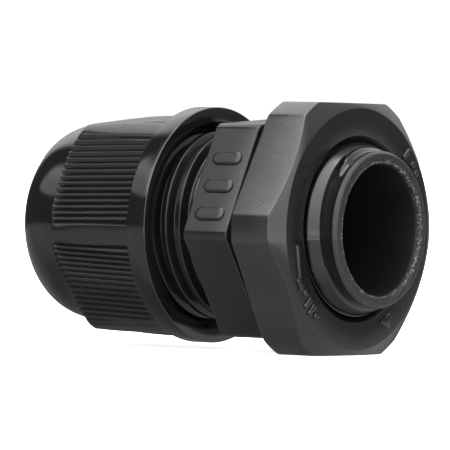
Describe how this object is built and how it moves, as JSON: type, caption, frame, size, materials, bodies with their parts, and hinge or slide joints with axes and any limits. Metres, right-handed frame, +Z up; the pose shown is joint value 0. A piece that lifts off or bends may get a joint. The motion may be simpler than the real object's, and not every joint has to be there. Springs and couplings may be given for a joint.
{
  "type": "cable gland",
  "caption": "Moulded nylon cable gland with a domed, ribbed clamping cap, claw and rubber seal inside, hexagonal body, threaded spigot, flat gasket and hexagonal locknut.",
  "frame": {"origin": "on the gland's axis, in the plane of the body's seat, the hexagon face that a panel is clamped against", "axes": "+X along the mounting thread into the enclosure, -X towards the domed cap, +Z up with the gland lying on its side and the locknut's flats level"},
  "size_m": [0.0355, 0.0242, 0.022],
  "materials": {
    "body_nylon": "semi-gloss moulded black nylon",
    "cap_nylon": "glossy moulded black nylon",
    "locknut_nylon": "satin moulded black nylon",
    "gasket_rubber": "matte black rubber",
    "claw_nylon": "satin black nylon",
    "seal_rubber": "matte black rubber"
  },
  "bodies": {
    "gland_body": {"body": "body_nylon"},
    "clamp_insert": {"claw": "claw_nylon", "seal": "seal_rubber"},
    "cap": {"cap": "cap_nylon"},
    "gasket": {"gasket": "gasket_rubber"},
    "locknut": {"locknut": "locknut_nylon"}
  },
  "joints": [
    {"name": "cap_advance", "type": "slide", "parent": "gland_body", "child": "clamp_insert", "axis": [1, 0, 0], "range_m": [-0.00405, 0.0036]},
    {"name": "cap_turn", "type": "hinge", "parent": "clamp_insert", "child": "cap", "pos_m": [-0.0135, 0, 0], "axis": [1, 0, 0], "range_deg": [-973, 865]},
    {"name": "locknut_advance", "type": "slide", "parent": "gland_body", "child": "gasket", "axis": [1, 0, 0], "range_m": [0, 0.0074]},
    {"name": "locknut_turn", "type": "hinge", "parent": "gasket", "child": "locknut", "pos_m": [0.004, 0, 0], "axis": [1, 0, 0], "range_deg": [0, 1890]}
  ],
  "couplings": [
    {"joint": "cap_turn", "follows": "cap_advance", "rad_per_m": 4188.8},
    {"joint": "locknut_turn", "follows": "locknut_advance", "rad_per_m": 4456.2}
  ]
}
